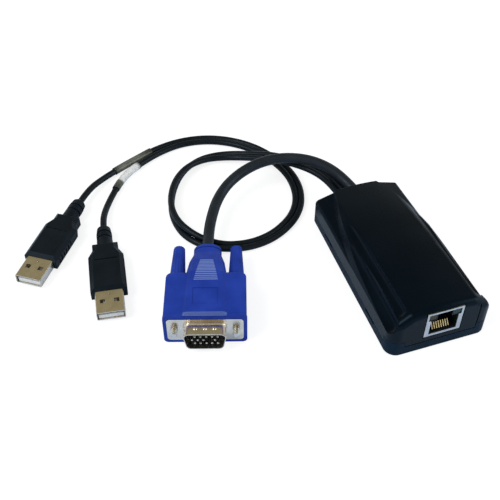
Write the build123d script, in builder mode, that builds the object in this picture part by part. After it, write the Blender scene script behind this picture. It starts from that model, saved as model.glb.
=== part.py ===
"""A keyboard, video and mouse dongle.

A small black housing with a network socket in its front face. A video cable with a blue
15-pin plug and a pair of thin leads with USB plugs leave its rear face, and lie on the
table in one loose loop. The origin is the middle of the housing's underside. The socket
looks towards -Y, the cables leave towards +Y, and +Z is up. Sizes are in millimetres.
"""

import os
from math import asin, atan2, cos, degrees, hypot, radians, sin, tan

from build123d import *

os.makedirs("parts", exist_ok=True)

# Housing: overall sizes. It narrows towards the cables.
housing_length = 84.0
front_width = 45.0
rear_width = 41.0
front_corner_radius = 5.0
wall = 2.0
floor = 1.8
underside_chamfer = 0.6

# Housing: heights above the table
seam_height = 5.0
corner_post_height = 8.0
shoulder_height = 13.0
shoulder_slope = 0.3
shoulder_radius = 2.0
skirt_ceiling = 9.6
roof_height = 23.3

# Housing: the roof is turned about a far axis across the part, so it falls to the rear
roof_radius = 520.0
roof_crest_from_front = 7.0
roof_half_width = 14.0
roof_crown = 1.0
roof_side_slope = 0.69
roof_edge_radius = 4.0

# Housing: the raised middle, as wide as the housing in front, narrow at the rear
raised_foot_height = 12.0
raised_straight_length = 36.0
raised_rear_center_x = -1.0
raised_rear_half_width = 12.4
raised_side_draft = 20.0
raised_foot_depth = 3.0
front_edge_radius = 3.0

# Housing: seam and snap joint
seam_gap = 0.24
lip_inset = 1.1
lip_height = 1.2
lip_clearance = 0.12
snap_slot_length = 8.6
snap_slot_height = 1.0
snap_slot_from_front = 19.5
snap_slot_from_rear = 18.0
corner_post_depth = 6.0
front_panel_half_width = 15.8
groove_width = 0.55
groove_depth = 0.5
groove_top = 20.4

# Housing: flutes in the front corners, each (x, z in front, x, z at the rear, distances of its
# two ends behind the front, radius), the line of its middle
flutes = (
    (17.7, 21.5, 17.4, 21.1, 6.6, 60.0, 3.2),
    (22.5, 16.8, 22.7, 20.4, 5.4, 50.0, 5.0),
)
flute_room = 4.2

# Network socket
jack_width = 16.0
jack_height = 13.5
jack_depth = 15.8
jack_sheet = 0.35
jack_gap = 0.4
port_width = 11.9
port_height = 7.6
port_depth = 12.0
port_floor = 1.45
latch_width = 6.4
latch_height = 3.0
window_width = 14.2
window_height = 3.3
light_width = 3.3
light_height = 2.6
light_depth = 6.0
jack_contact_count = 8
jack_contact_pitch = 1.02
jack_contact_diameter = 0.5
jack_contact_rise = 2.45
jack_contact_run = 1.7

# Circuit board and the pieces on it
board_thickness = 1.6
board_underside = 6.3
board_width = 35.0
board_front_gap = 2.6
board_rear_gap = 12.4
board_post_diameter = 4.6
board_pin_diameter = 1.9
board_pin_rise = 0.6
board_hole_clearance = 0.1
board_post_x = 14.2
board_post_from_front = 19.4
board_post_from_rear = 5.6
main_chip_size = 12.0
main_chip_height = 1.5
main_chip_y = -8.0
memory_chip_at = (10.5, 9.0)
memory_chip_length = 5.0
memory_chip_width = 4.0
memory_chip_height = 1.4
memory_lead_pitch = 1.27
chip_standoff = 0.1
chip_lead_count = 10
chip_lead_pitch = 1.0
crystal_at = (-9.0, 9.0)
crystal_length = 11.0
crystal_width = 4.6
crystal_height = 3.4
capacitor_diameter = 5.0
capacitor_height = 5.4
capacitor_places = ((-12.0, -8.0), (12.0, -13.0), (12.0, -5.0))
header_depth = 5.0
header_height = 4.0
header_floor = 1.0
header_wall = 0.8
header_edge_gap = 0.6
video_header_x = 4.6
video_header_width = 11.0
usb_header_x = -7.0
usb_header_width = 9.0

# Cord gland in the rear wall
gland_center_x = -1.5
gland_width = 14.2
gland_height = 7.0
gland_fit = 0.08
gland_flange_extra = 0.7
gland_flange = 1.3
gland_nose = 3.0
gland_radius = 1.6
cord_exit_height = seam_height + gland_height / 2

# Cords
video_cable_diameter = 5.0
lead_diameter = 3.0
lead_spacing = 3.3
cord_seat = 0.8
axial_run = 9.5
bend_share = 0.45
video_exit_x = 2.2
pair_exit_x = -4.6

# Middle line of the video cable between the gland and the plug: over the pair, down to the plug
video_route = (
    (-0.6, 53.2, 10.9),
    (-6.2, 61.0, 14.3),
    (-14.2, 67.3, 16.4),
    (-24.2, 72.4, 16.4),
    (-34.6, 74.9, 15.0),
    (-45.4, 73.6, 12.6),
    (-55.0, 68.6, 10.7),
    (-62.3, 60.8, 9.5),
    (-67.6, 51.8, 8.5),
)

# Middle line of the pair of leads, each point with its lean in degrees: 0 where the two lie
# side by side on the table, 90 where lead B rests on lead A
pair_route = (
    (-5.6, 55.5, 7.2, 0),
    (-10.2, 65.5, 6.9, 0),
    (-17.5, 74.0, 7.6, 0),
    (-26.3, 83.2, 7.6, 0),
    (-36.2, 93.2, 4.2, 0),
    (-46.6, 99.2, 2.1, 10),
    (-57.2, 99.6, 2.5, 30),
    (-66.8, 95.6, 3.1, 60),
    (-74.2, 88.6, 3.3, 85),
    (-79.6, 79.4, 3.3, 90),
    (-82.6, 68.9, 3.3, 90),
    (-82.8, 59.3, 3.3, 80),
    (-80.2, 50.6, 3.0, 50),
    (-74.6, 43.2, 2.3, 20),
    (-66.0, 37.8, 1.7, 0),
    (-55.3, 35.4, 1.6, 0),
    (-45.0, 36.8, 1.6, 0),
    (-36.3, 41.0, 1.6, 0),
    (-28.9, 47.4, 1.6, 0),
    (-23.3, 56.3, 1.6, 0),
    (-20.4, 67.6, 1.6, 0),
    (-20.6, 79.2, 1.6, 0),
    (-23.8, 91.0, 1.6, 0),
    (-31.2, 103.4, 1.6, 0),
    (-41.7, 112.4, 1.6, 0),
    (-53.2, 117.3, 1.6, 0),
    (-65.6, 118.4, 1.6, 0),
)

# Each lead on its own, from where the two part
lead_a_tail = (
    (-78.7, 117.0, 1.7),
    (-88.6, 112.2, 1.95),
    (-96.0, 108.8, 1.95),
    (-107.6, 102.6, 2.1),
)
lead_b_tail = (
    (-77.4, 113.4, 1.7),
    (-87.6, 108.0, 1.95),
    (-95.6, 102.8, 1.95),
    (-101.6, 96.3, 1.95),
    (-106.5, 88.6, 1.9),
    (-110.6, 81.9, 2.3),
)

# Video plug, drawn with its flange at the origin, its pins towards -Y, on the table
video_plug_at = (-89.0, -10.5)
video_plug_turn = -17.9
hood_width = 33.8
hood_height = 16.0
hood_length = 25.0
hood_edge_radius = 0.7
hood_corner_radius = 2.6
rim_length = 1.6
wing_drop = 0.7
core_front_half_width = 10.2
core_rear_half_width = 8.6
core_edge_radius = 3.0
waist_y = 33.5
waist_half_width = 7.6
waist_half_height = 6.1
neck_length = 40.3
neck_half_width = 6.0
neck_half_height = 3.9
collar_half_width = 6.1
collar_half_height = 3.8
collar_length = 6.0
collar_end_radius = 2.0
collar_groove_from_neck = 2.8
collar_groove_width = 0.6
collar_groove_depth = 0.4
panel_y = 11.2
panel_width = 10.4
panel_length = 8.9
panel_depth = 0.25
grip_y = 20.2
grip_rib_count = 13
grip_rib_pitch = 1.05
grip_rib_radius = 0.34
grip_rib_rise = 0.22
grip_front_half_width = 5.0
grip_rear_half_width = 2.8
front_groove_count = 4
front_groove_pitch = 0.55
front_groove_width = 0.26
front_groove_depth = 0.2
front_groove_half_width = 8.8
flange_width = 30.8
flange_height = 12.5
flange_thickness = 0.8
flange_corner_radius = 1.6
d_width = 17.8
d_height = 9.24
d_length = 6.2
d_corner_radius = 2.4
d_base_step = 0.6
d_base_length = 1.3
d_base_radius = 0.5
d_side_angle = 10.0
d_sheet = 0.45
dimple_radius = 1.1
dimple_rise = 0.45
dimple_from_flange = 3.2
dimple_xs = (-3.8, 0.0, 3.8)
insulator_recess = 0.7
insulator_length = 9.0
plug_fit = 0.05
pin_diameter = 0.95
pin_pitch = 2.29
pin_row_pitch = 1.98
pin_tip_below_rim = 0.7
pin_depth = 2.0
screw_spacing = 24.99
screw_diameter = 2.84
screw_running_fit = 0.08
screw_stub = 3.0
knob_gap = 0.3
knob_length = 22.4
knob_front_diameter = 7.1
knob_rear_diameter = 4.85
knob_flute_count = 14
knob_flute_radius = 0.34
knob_grip = 8.0

# USB plugs, drawn with their mouth at the origin, towards -Y, on the table
usb_plug_a_at = (-152.8, 42.9)
usb_plug_a_turn = -34.9
usb_plug_b_at = (-122.9, 12.6)
usb_plug_b_turn = -8.0
usb_shell_width = 12.0
usb_shell_height = 4.5
usb_shell_sheet = 0.32
usb_shell_exposed = 11.7
usb_shell_buried = 7.0
usb_window = 2.2
usb_window_spread = 5.9
usb_window_from_mouth = 6.4
usb_dimple_from_mouth = 10.2
usb_dimple_radius = 0.45
usb_tongue_height = 1.9
usb_tongue_recess = 0.6
usb_contact_count = 4
usb_contact_pitch = 2.3
usb_contact_width = 1.0
usb_contact_height = 0.2
boot_width = 15.5
boot_height = 7.7
boot_edge_chamfer = 1.9
boot_body_end = 33.0
boot_shoulder_end = 37.0
boot_wing_width = 11.4
boot_wing_end = 41.0
relief_front_diameter = 7.4
relief_rear_diameter = 6.2
relief_end = 53.0
relief_groove_depth = 0.55
boot_groove_y = 29.5
boot_groove_width = 0.9
boot_groove_length = 10.0
boot_groove_depth = 0.4
grip_groove_count = 6
grip_groove_y = 15.0
grip_groove_pitch = 2.2

# Label sleeves on the two leads
label_wall = 0.3
label_clearance = 0.05
label_start_share = 0.25
label_end_share = 0.5


# Shared shapes

def housing_plan(inset):
    """Draws the housing's plan, all round a distance inside its outer face."""
    half_front = front_width / 2 - inset
    half_rear = rear_width / 2 - inset
    half_length = housing_length / 2 - inset
    Polygon(
        (-half_front, -half_length),
        (half_front, -half_length),
        (half_rear, half_length),
        (-half_rear, half_length),
        align=None,
    )
    fillet(vertices().group_by(Axis.Y)[0], front_corner_radius - inset)


def wall_x(y):
    """Half the housing's width at a place along its length."""
    share = (y + housing_length / 2) / housing_length
    return front_width / 2 + (rear_width - front_width) / 2 * share


def d_outline(inset):
    """Draws the plug's D outline, wide side up, a distance inside its outer face."""
    top = d_height / 2 - inset
    lean = tan(radians(d_side_angle))
    wide = d_width / 2 - inset * (1 - lean)
    narrow = wide - 2 * top * lean
    Polygon((-wide, top), (wide, top), (narrow, -top), (-narrow, -top), align=None)
    fillet(vertices(), d_corner_radius - inset)


def finish(builder, name, place=Location()):
    """Moves a finished piece to its place, labels it and writes its file."""
    builder.part = builder.part.moved(place)
    builder.part.label = name
    export_step(builder.part, f"parts/{name}.step")


def facing_front(y):
    """The upright plane across the part at a given y, seen from the front."""
    return Plane.XZ.offset(-y)


half_length = housing_length / 2
front_y = -half_length
rear_y = half_length
seam_top = seam_height + seam_gap / 2
seam_bottom = seam_height - seam_gap / 2
jack_underside = board_underside + board_thickness
jack_center_z = jack_underside + jack_height / 2
board_top = board_underside + board_thickness
board_front_y = front_y + board_front_gap
board_rear_y = rear_y - board_rear_gap
board_post_ys = (board_front_y + board_post_from_front, board_rear_y - board_post_from_rear)
snap_slot_ys = (front_y + snap_slot_from_front, rear_y - snap_slot_from_rear)
roof_crest_y = front_y + roof_crest_from_front
raised_straight_end_y = front_y + raised_straight_length

# Bottom shell: a tray with a snap lip, corner posts in front and posts for the board

with BuildPart() as bottom_shell:
    with BuildSketch():
        housing_plan(0)
    extrude(amount=corner_post_height - seam_gap / 2)
    chamfer(faces().sort_by(Axis.Z)[0].edges(), underside_chamfer)
    # Behind the corner posts the wall ends at the seam.
    with BuildSketch(Plane.XY.offset(seam_bottom)):
        with Locations((0, front_y + corner_post_depth)):
            Rectangle(2 * front_width, 2 * housing_length, align=(Align.CENTER, Align.MIN))
    extrude(amount=corner_post_height, mode=Mode.SUBTRACT)
    # Between the corner posts the cover's front panel comes down to the seam.
    with BuildSketch(Plane.XY.offset(seam_bottom)):
        with Locations((0, front_y)):
            Rectangle(2 * front_panel_half_width + seam_gap, 4 * corner_post_depth)
    extrude(amount=corner_post_height, mode=Mode.SUBTRACT)
    with BuildSketch(Plane.XY.offset(floor)):
        housing_plan(wall)
    extrude(amount=corner_post_height, mode=Mode.SUBTRACT)
    # The lip stands inside the cover's wall and snaps into it.
    with BuildSketch(Plane.XY.offset(seam_height - lip_height)):
        housing_plan(lip_inset)
        with Locations((0, front_y)):
            Rectangle(2 * front_width, 2 * (corner_post_depth + 1), mode=Mode.SUBTRACT)
        with Locations((gland_center_x, rear_y)):
            Rectangle(gland_width + 3, 5 * wall, mode=Mode.SUBTRACT)
    extrude(amount=2 * lip_height)
    with BuildSketch(Plane.XY.offset(floor)):
        housing_plan(wall)
    extrude(amount=corner_post_height, mode=Mode.SUBTRACT)
    # Snap slots: dark notches in the rim on both sides
    for slot_y in snap_slot_ys:
        for side in (-1, 1):
            with Locations((side * wall_x(slot_y), slot_y, seam_bottom - snap_slot_height / 2)):
                Box(2 * lip_inset, snap_slot_length, snap_slot_height, mode=Mode.SUBTRACT)
    # Posts that carry the board, each with a locating pin
    for post_x in (-board_post_x, board_post_x):
        for post_y in board_post_ys:
            with Locations((post_x, post_y, floor)):
                Cylinder(
                    board_post_diameter / 2,
                    board_underside - floor,
                    align=(Align.CENTER, Align.CENTER, Align.MIN),
                )
                Cylinder(
                    board_pin_diameter / 2,
                    board_top + board_pin_rise - floor,
                    align=(Align.CENTER, Align.CENTER, Align.MIN),
                )
finish(bottom_shell, "bottom_shell")

# Raised middle of the cover: a drafted plan, cut by the roof and by the housing's walls

overrun = 8.0
roof_start = asin((roof_crest_y - front_y + overrun) / roof_radius)
roof_end = asin((rear_y + overrun - roof_crest_y) / roof_radius)
roof_axis_point = (0, roof_crest_y, roof_height - roof_radius)
roof_plane = Plane(
    origin=roof_axis_point,
    x_dir=(1, 0, 0),
    z_dir=(0, -cos(roof_start), -sin(roof_start)),
)


def raised_middle(inset, side_room=0.0):
    """The raised middle, all round a distance inside its outer face, less room for the flutes."""
    foot_front = front_width / 2 - inset - side_room
    foot_bend = wall_x(raised_straight_end_y) - inset - side_room
    spread = (foot_front - foot_bend) / (raised_straight_end_y - front_y) * overrun
    crest = roof_radius - inset
    reach = front_width / 2 + 3
    eave = crest - roof_crown - roof_side_slope * (reach - roof_half_width)
    with BuildPart() as middle:
        with BuildSketch(Plane.XY.offset(raised_foot_height)):
            with BuildLine():
                front_ends = []
                rear_ends = []
                for side in (1, -1):
                    front_end = (side * (foot_front + spread), front_y - overrun)
                    straight = Line(front_end, (side * foot_bend, raised_straight_end_y))
                    foot_rear = raised_rear_center_x + side * (raised_rear_half_width - inset)
                    flare = TangentArc(straight @ 1, (foot_rear, rear_y), tangent=straight % 1)
                    tail = Line(flare @ 1, flare @ 1 + (flare % 1) * overrun)
                    front_ends.append(front_end)
                    rear_ends.append(tail @ 1)
                Line(*front_ends)
                Line(*rear_ends)
            make_face()
        extrude(amount=roof_height, taper=raised_side_draft)
        extrude(faces().sort_by(Axis.Z)[0], amount=raised_foot_depth, taper=-raised_side_draft)
        with BuildSketch(roof_plane):
            with BuildLine():
                ThreePointArc(
                    (-roof_half_width, crest - roof_crown),
                    (0, crest),
                    (roof_half_width, crest - roof_crown),
                )
                Polyline(
                    (roof_half_width, crest - roof_crown),
                    (reach, eave),
                    (reach, crest - 2 * roof_height),
                    (-reach, crest - 2 * roof_height),
                    (-reach, eave),
                    (-roof_half_width, crest - roof_crown),
                )
            make_face()
            edge_points = [v for v in vertices() if abs(abs(v.X) - roof_half_width) < 0.01]
            fillet(edge_points, roof_edge_radius)
        revolve(
            axis=Axis(roof_axis_point, (-1, 0, 0)),
            revolution_arc=degrees(roof_start + roof_end),
            mode=Mode.INTERSECT,
        )
        with BuildSketch():
            housing_plan(inset)
        extrude(amount=2 * roof_height, mode=Mode.INTERSECT)
    return middle.part


# Top cover: a skirt with shoulders that rise inwards, the raised middle on it, hollow inside

skirt_reach = front_width / 2 + 1
skirt_edge = shoulder_height - shoulder_slope * (skirt_reach - rear_width / 2)
ridge_x = raised_rear_half_width + raised_rear_center_x - 2.6
ridge_z = shoulder_height + shoulder_slope * (rear_width / 2 - ridge_x)

with BuildPart() as middle_block:
    add(raised_middle(0))
    upper_edges = edges().filter_by(lambda edge: edge.center().Z > shoulder_height + 4)
    fillet(upper_edges.filter_by(lambda edge: edge.center().Y < front_y + 1), front_edge_radius)

with BuildPart() as top_cover:
    with BuildSketch(facing_front(front_y - 1)):
        Polygon(
            (-skirt_reach, seam_top),
            (skirt_reach, seam_top),
            (skirt_reach, skirt_edge),
            (ridge_x, ridge_z),
            (-ridge_x, ridge_z),
            (-skirt_reach, skirt_edge),
            align=None,
        )
    extrude(amount=-(housing_length + 2))
    with BuildSketch():
        housing_plan(0)
    extrude(amount=roof_height, mode=Mode.INTERSECT)
    side_faces = faces().filter_by(lambda face: abs(face.normal_at().X) > 0.9)
    fillet(side_faces.edges().group_by(Axis.Z)[-1], shoulder_radius)
    add(middle_block.part)
    # Two flutes in each front corner, rounded in front, running out to the rear
    for front_x, front_z, rear_x, rear_z, start, end, radius in flutes:
        for side in (-1, 1):
            flute_start = Vector(side * front_x, front_y + start, front_z)
            flute_run = Vector(side * rear_x, front_y + end, rear_z) - flute_start
            with BuildSketch(Plane(origin=flute_start, z_dir=flute_run)):
                Circle(radius)
            extrude(amount=flute_run.length, mode=Mode.SUBTRACT)
            # The ball's poles point out of the wall, clear of the rounded end.
            with Locations(Plane(origin=flute_start, z_dir=(side, -0.8, 1)).location):
                Sphere(radius, mode=Mode.SUBTRACT)
    # Hollow inside
    with BuildSketch(Plane.XY.offset(seam_top)):
        housing_plan(wall)
    extrude(amount=skirt_ceiling - seam_top, mode=Mode.SUBTRACT)
    add(raised_middle(wall, flute_room), mode=Mode.SUBTRACT)
    # Rebate for the lip of the bottom shell
    with BuildSketch(Plane.XY.offset(seam_top)):
        housing_plan(lip_inset - lip_clearance)
        with Locations((0, front_y)):
            Rectangle(2 * front_width, 2 * (corner_post_depth + 0.5), mode=Mode.SUBTRACT)
    extrude(amount=lip_height + lip_clearance, mode=Mode.SUBTRACT)
    # Room for the corner posts of the bottom shell
    for side in (-1, 1):
        with BuildSketch(Plane.XY.offset(seam_height)):
            with Locations((side * (front_panel_half_width + front_width), front_y)):
                Rectangle(2 * front_width, 2 * (corner_post_depth + seam_gap / 2))
        extrude(amount=corner_post_height + seam_gap / 2 - seam_height, mode=Mode.SUBTRACT)
    # Grooves along the lower edge of the front panel and up its right edge
    with Locations((front_panel_half_width, front_y, seam_height)):
        Box(
            groove_width,
            2 * groove_depth,
            groove_top - seam_height,
            align=(Align.CENTER, Align.CENTER, Align.MIN),
            mode=Mode.SUBTRACT,
        )
    with Locations((0, front_y, seam_top)):
        Box(
            2 * front_panel_half_width,
            2 * groove_depth,
            groove_width,
            mode=Mode.SUBTRACT,
        )
    # Opening for the network socket
    with Locations((0, front_y, jack_center_z)):
        Box(
            jack_width + 2 * jack_gap,
            2 * (jack_depth + jack_gap),
            jack_height + 2 * jack_gap,
            mode=Mode.SUBTRACT,
        )
    # Notch for the cord gland
    with BuildSketch(facing_front(rear_y - wall - 1)):
        with Locations((gland_center_x, cord_exit_height)):
            Rectangle(gland_width + 2 * gland_fit, gland_height + 2 * gland_fit)
    extrude(amount=-2 * wall, mode=Mode.SUBTRACT)
finish(top_cover, "top_cover")

# Network socket: a sheet steel shield with a T-shaped front window

with BuildPart() as jack_shield:
    with BuildSketch(facing_front(front_y)):
        with Locations((0, jack_center_z)):
            Rectangle(jack_width, jack_height)
    extrude(amount=-jack_depth)
    with BuildSketch(facing_front(front_y + jack_sheet)):
        with Locations((0, jack_center_z)):
            Rectangle(jack_width - 2 * jack_sheet, jack_height - 2 * jack_sheet)
    extrude(amount=-jack_depth, mode=Mode.SUBTRACT)
    with BuildSketch(facing_front(front_y - 1)):
        with Locations((0, jack_underside + port_floor - 0.2)):
            Rectangle(port_width + 0.3, port_height + 1, align=(Align.CENTER, Align.MIN))
        with Locations((0, jack_underside + port_floor + port_height + 0.3)):
            Rectangle(window_width, window_height, align=(Align.CENTER, Align.MIN))
    extrude(amount=-(jack_sheet + 2), mode=Mode.SUBTRACT)
finish(jack_shield, "jack_shield")

# Socket body: black plastic with the port, the latch slot and a pocket for each light

jack_face_y = front_y + jack_sheet + 0.05
light_x = window_width / 2 - light_width / 2 - 0.1
light_z = jack_underside + port_floor + port_height + 0.3 + window_height / 2

with BuildPart() as jack_body:
    with BuildSketch(facing_front(jack_face_y)):
        with Locations((0, jack_center_z)):
            Rectangle(jack_width - 2 * jack_sheet - 0.1, jack_height - 2 * jack_sheet - 0.1)
    extrude(amount=-(jack_depth - jack_sheet - 0.3))
    with BuildSketch(facing_front(jack_face_y)):
        with Locations((0, jack_underside + port_floor)):
            Rectangle(port_width, port_height, align=(Align.CENTER, Align.MIN))
            Rectangle(latch_width, port_height + latch_height, align=(Align.CENTER, Align.MIN))
    extrude(amount=-port_depth, mode=Mode.SUBTRACT)
    for side in (-1, 1):
        with BuildSketch(facing_front(jack_face_y)):
            with Locations((side * light_x, light_z)):
                Rectangle(light_width + 2 * plug_fit, light_height + 2 * plug_fit)
        extrude(amount=-(light_depth + plug_fit), mode=Mode.SUBTRACT)
finish(jack_body, "jack_body")

for side, name in ((-1, "jack_light_left"), (1, "jack_light_right")):
    with BuildPart() as jack_light:
        with BuildSketch(facing_front(jack_face_y)):
            with Locations((side * light_x, light_z)):
                RectangleRounded(light_width, light_height, 0.4)
        extrude(amount=-light_depth)
    finish(jack_light, name)

with BuildPart() as jack_contacts:
    for i in range(jack_contact_count):
        contact_x = (i - (jack_contact_count - 1) / 2) * jack_contact_pitch
        contact_z = jack_underside + port_floor
        low = Vector(contact_x, jack_face_y + 1.2, contact_z + jack_contact_diameter / 2 + 0.02)
        high = low + Vector(0, jack_contact_run, jack_contact_rise - jack_contact_diameter / 2)
        with BuildSketch(Plane(origin=low, z_dir=high - low)):
            Circle(jack_contact_diameter / 2)
        extrude(amount=(high - low).length)
        with BuildSketch(Plane(origin=high, z_dir=(0, 1, 0))):
            Circle(jack_contact_diameter / 2)
        extrude(amount=jack_face_y + port_depth - high.Y - 0.02)
        with Locations(high):
            Sphere(jack_contact_diameter / 2)
finish(jack_contacts, "jack_contacts")

# Circuit board and the pieces soldered to it

with BuildPart() as circuit_board:
    with Locations((0, board_front_y, board_underside)):
        Box(
            board_width,
            board_rear_y - board_front_y,
            board_thickness,
            align=(Align.CENTER, Align.MIN, Align.MIN),
        )
    with Locations(Location((0, 0, board_underside))):
        with Locations(
            (-board_post_x, board_post_ys[0]),
            (board_post_x, board_post_ys[0]),
            (-board_post_x, board_post_ys[1]),
            (board_post_x, board_post_ys[1]),
        ):
            Cylinder(
                board_pin_diameter / 2 + board_hole_clearance,
                board_thickness * 4,
                mode=Mode.SUBTRACT,
            )
finish(circuit_board, "circuit_board")

with BuildPart() as main_chip:
    with Locations((0, main_chip_y, board_top + chip_standoff + main_chip_height / 2)):
        Box(main_chip_size, main_chip_size, main_chip_height)
        chamfer(edges().group_by(Axis.Z)[-1], 0.25)
    for quarter in range(4):
        for i in range(chip_lead_count):
            along = (i - (chip_lead_count - 1) / 2) * chip_lead_pitch
            out = main_chip_size / 2 + 0.6
            turn = Location((0, main_chip_y, board_top + 0.4), (0, 0, 90 * quarter))
            with Locations(turn * Location((out, along, 0))):
                Box(1.2, 0.4, 0.8)
finish(main_chip, "main_chip")

with BuildPart() as memory_chip:
    chip_x, chip_y = memory_chip_at
    with Locations((chip_x, chip_y, board_top + chip_standoff + memory_chip_height / 2)):
        Box(memory_chip_width, memory_chip_length, memory_chip_height)
        chamfer(edges().group_by(Axis.Z)[-1], 0.2)
    for side in (-1, 1):
        lead_x = chip_x + side * (memory_chip_width / 2 + 0.5)
        for i in range(4):
            with Locations((lead_x, chip_y + (i - 1.5) * memory_lead_pitch, board_top + 0.4)):
                Box(1.0, 0.4, 0.8)
finish(memory_chip, "memory_chip")

with BuildPart() as crystal:
    with BuildSketch(Plane.XY.offset(board_top)):
        with Locations(crystal_at):
            SlotOverall(crystal_length, crystal_width)
    extrude(amount=crystal_height)
    fillet(edges().group_by(Axis.Z)[-1], 0.4)
finish(crystal, "crystal")

with BuildPart() as capacitors:
    for place in capacitor_places:
        with Locations((place[0], place[1], board_top)):
            Cylinder(
                capacitor_diameter / 2,
                capacitor_height,
                align=(Align.CENTER, Align.CENTER, Align.MIN),
            )
    fillet(edges().group_by(Axis.Z)[-1], 0.4)
finish(capacitors, "capacitors")

for header_x, header_width, name in (
    (video_header_x, video_header_width, "video_header"),
    (usb_header_x, usb_header_width, "usb_header"),
):
    with BuildPart() as header:
        header_y = board_rear_y - header_edge_gap - header_depth
        with Locations((header_x, header_y, board_top)):
            Box(
                header_width,
                header_depth,
                header_height,
                align=(Align.CENTER, Align.MIN, Align.MIN),
            )
        with Locations((header_x, header_y + header_depth / 2, board_top + header_floor)):
            Box(
                header_width - 2 * header_wall,
                header_depth,
                header_height,
                align=(Align.CENTER, Align.MIN, Align.MIN),
                mode=Mode.SUBTRACT,
            )
    finish(header, name)

# Video plug: blue hood with two wings, a ribbed grip that narrows to a neck, and an oval collar

video_place = Location((video_plug_at[0], video_plug_at[1], 0), (0, 0, video_plug_turn))
plug_z = hood_height / 2
screw_x = screw_spacing / 2
bore = screw_diameter / 2 + screw_running_fit
plug_end = neck_length + collar_length


def core_top(y):
    """Height of the hood's middle above the table at a distance behind its front."""
    if y <= hood_length:
        return hood_height
    if y <= waist_y:
        share = (y - hood_length) / (waist_y - hood_length)
        return hood_height - share * (plug_z - waist_half_height)
    share = (y - waist_y) / (neck_length - waist_y)
    return plug_z + waist_half_height - share * (waist_half_height - neck_half_height)


with BuildPart() as video_hood:
    with BuildSketch(Plane.XY.offset(wing_drop)):
        with Locations((0, 0.2)):
            Rectangle(hood_width - 0.4, hood_length - 0.2, align=(Align.CENTER, Align.MIN))
        fillet(vertices().group_by(Axis.Y)[-1], hood_corner_radius)
    extrude(amount=hood_height - 2 * wing_drop)
    fillet(edges().group_by(Axis.Z)[-1], hood_edge_radius)
    fillet(edges().group_by(Axis.Z)[0], hood_edge_radius)
    with BuildSketch(facing_front(0.2)):
        with Locations((0, plug_z)):
            RectangleRounded(hood_width, hood_height, 2.0)
    extrude(amount=-(rim_length - 0.2))
    # The middle: wide in front, narrowing to the neck in three stretches
    stretches = (
        (0.2, core_front_half_width, plug_z, core_edge_radius),
        (hood_length, core_rear_half_width, plug_z, core_edge_radius),
        (waist_y, waist_half_width, waist_half_height, core_edge_radius),
        (neck_length, neck_half_width, neck_half_height, core_edge_radius),
    )
    for near, far in zip(stretches, stretches[1:]):
        for section_y, half_width, half_height, corner in (near, far):
            with BuildSketch(facing_front(section_y)):
                with Locations((0, plug_z)):
                    RectangleRounded(2 * half_width, 2 * half_height, corner)
        loft(ruled=True)
    # Collar with a groove round it and a rounded end
    with BuildSketch(facing_front(neck_length)):
        with Locations((0, plug_z)):
            Ellipse(collar_half_width, collar_half_height)
    extrude(amount=-collar_length)
    fillet(faces().sort_by(Axis.Y)[-1].edges(), collar_end_radius)
    with BuildSketch(facing_front(neck_length + collar_groove_from_neck)):
        with Locations((0, plug_z)):
            Ellipse(collar_half_width + 1, collar_half_height + 1)
            Ellipse(
                collar_half_width - collar_groove_depth,
                collar_half_height - collar_groove_depth,
                mode=Mode.SUBTRACT,
            )
    extrude(amount=-collar_groove_width, mode=Mode.SUBTRACT)
    # Shallow panel on top, fine grooves in front of it and ribs across the grip behind it
    with Locations((0, panel_y, hood_height)):
        Box(panel_width, panel_length, 2 * panel_depth, mode=Mode.SUBTRACT)
    for i in range(front_groove_count):
        with Locations((0, 0.5 + i * front_groove_pitch, hood_height)):
            Box(
                2 * front_groove_half_width,
                front_groove_width,
                2 * front_groove_depth,
                mode=Mode.SUBTRACT,
            )
    for i in range(grip_rib_count):
        rib_y = grip_y + grip_rib_pitch * i
        rib_z = core_top(rib_y) + grip_rib_rise - grip_rib_radius
        narrowing = (grip_front_half_width - grip_rear_half_width) * i / (grip_rib_count - 1)
        with Locations(Location((0, rib_y, rib_z), (0, 90, 0))):
            Cylinder(grip_rib_radius, 2 * (grip_front_half_width - narrowing))
    # Recess for the flange, room for the insulator, bores for the screws
    with BuildSketch(facing_front(0)):
        with Locations((0, plug_z)):
            RectangleRounded(
                flange_width + 2 * plug_fit, flange_height + 2 * plug_fit, flange_corner_radius
            )
    extrude(amount=-(flange_thickness + plug_fit), mode=Mode.SUBTRACT)
    with BuildSketch(facing_front(0)):
        with Locations((0, plug_z)):
            Rectangle(d_width + 0.4, d_height + 0.4)
    extrude(amount=-(insulator_length - insulator_recess + 0.1), mode=Mode.SUBTRACT)
    with BuildSketch(facing_front(0)):
        with Locations((-screw_x, plug_z), (screw_x, plug_z)):
            Circle(bore)
    extrude(amount=-2 * hood_length, mode=Mode.SUBTRACT)
finish(video_hood, "video_hood", video_place)

# Steel flange with the D-shaped shield

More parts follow.
